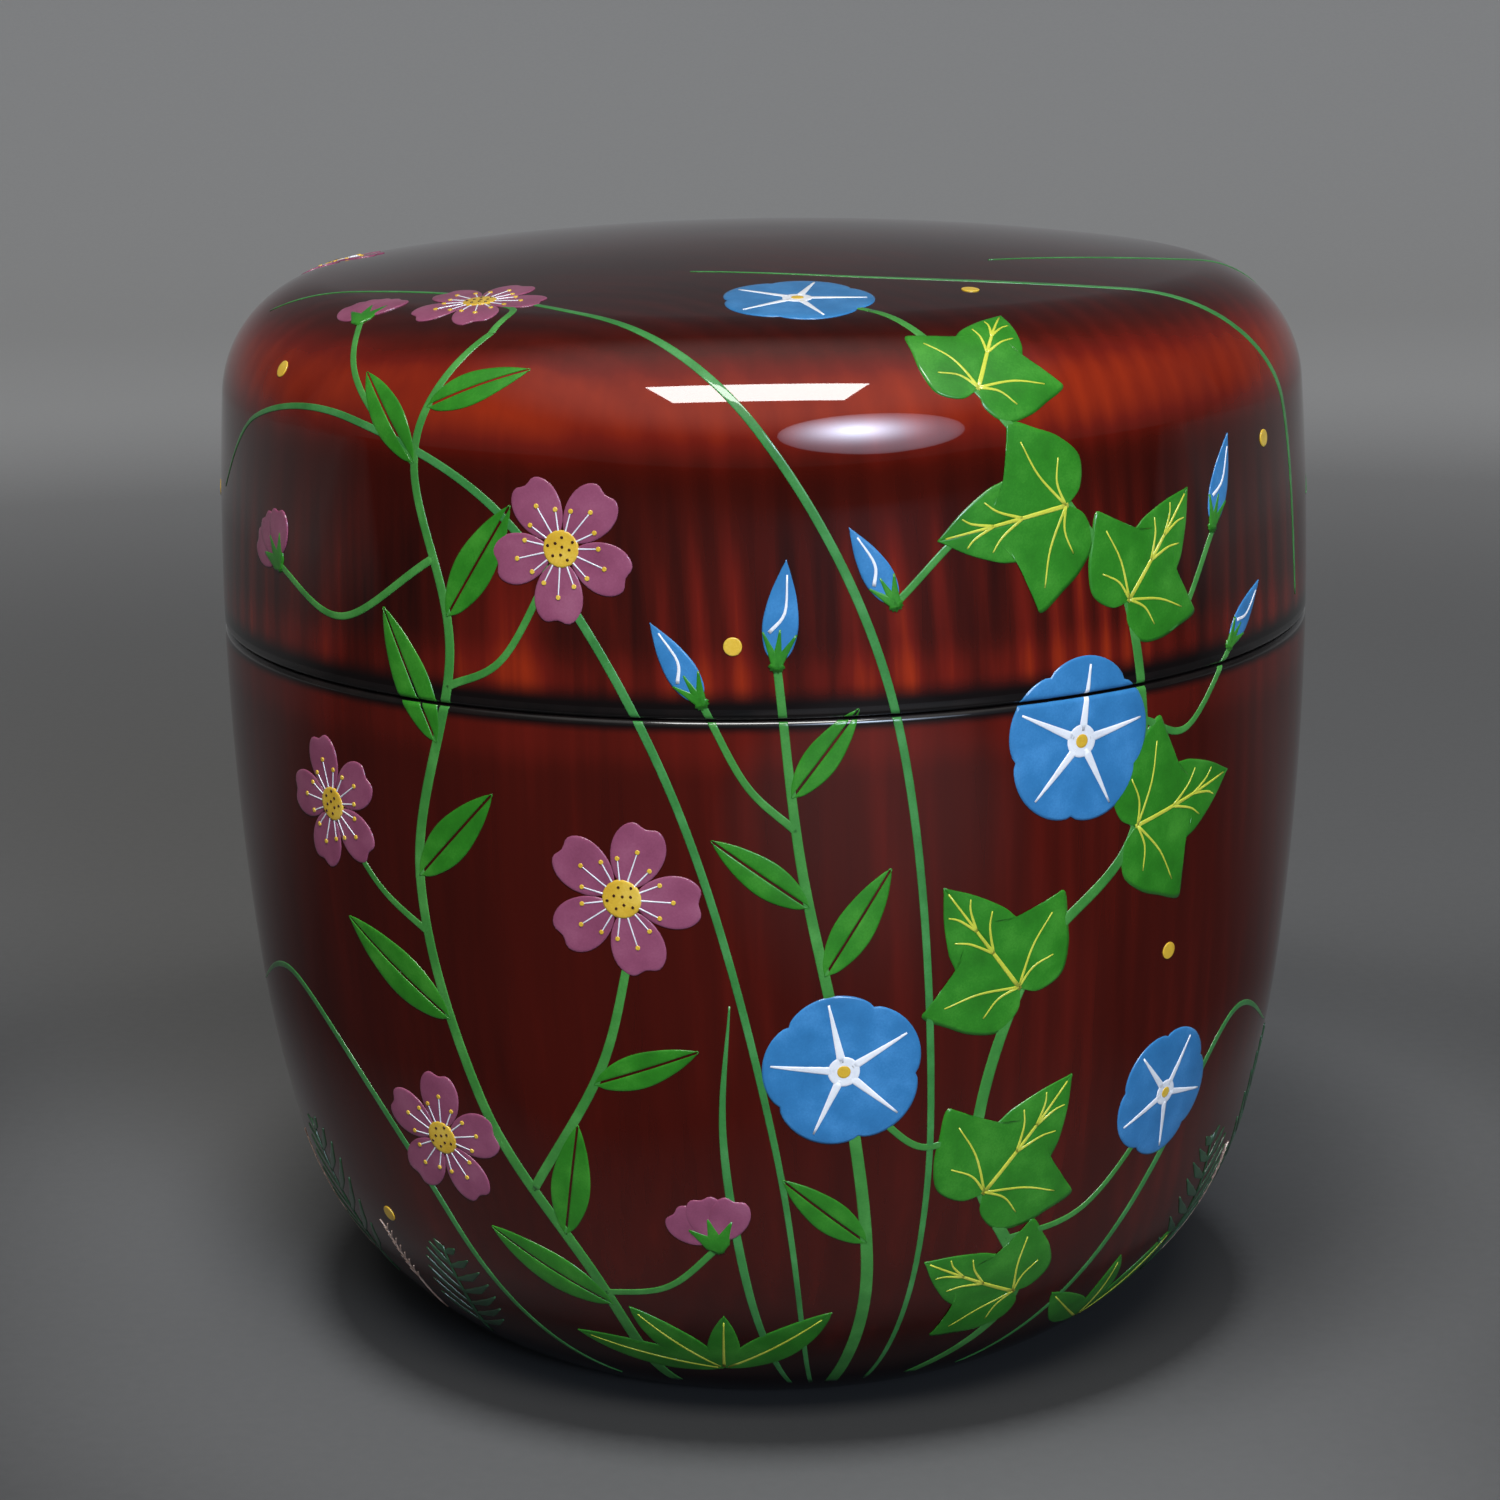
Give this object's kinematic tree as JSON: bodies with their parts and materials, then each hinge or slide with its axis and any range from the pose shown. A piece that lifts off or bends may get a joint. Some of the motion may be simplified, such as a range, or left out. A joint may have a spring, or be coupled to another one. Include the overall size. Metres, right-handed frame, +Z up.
{
  "type": "lacquer tea caddy",
  "caption": "Round lidded caddy for powdered tea, turned from wood and lacquered, with a domed lid that lifts off a standing rim and a body that tucks in to a small foot.",
  "frame": {"origin": "middle of the flat ring that the body stands on", "axes": "+Z up along the turning axis, from the foot to the top of the lid; -Y faces the viewer"},
  "size_m": [0.066, 0.066, 0.0664],
  "materials": {
    "red_lacquered_wood": "gloss",
    "black_lacquered_wood": "gloss",
    "black_lacquer": "gloss",
    "green_lacquer_paint": "gloss",
    "blue_lacquer_paint": "gloss",
    "mauve_lacquer_paint": "gloss",
    "yellow_lacquer_paint": "gloss",
    "white_lacquer_paint": "gloss"
  },
  "bodies": {
    "caddy_body": {"body": "red_lacquered_wood", "body_lining": "black_lacquer", "standing_rim": "black_lacquered_wood"},
    "caddy_lid": {"lid": "red_lacquered_wood", "lid_lining": "black_lacquer"}
  },
  "joints": [
    {"name": "lid_lift", "type": "slide", "parent": "caddy_body", "child": "caddy_lid", "axis": [0, 0, 1], "range_m": [0, 0.045]}
  ]
}
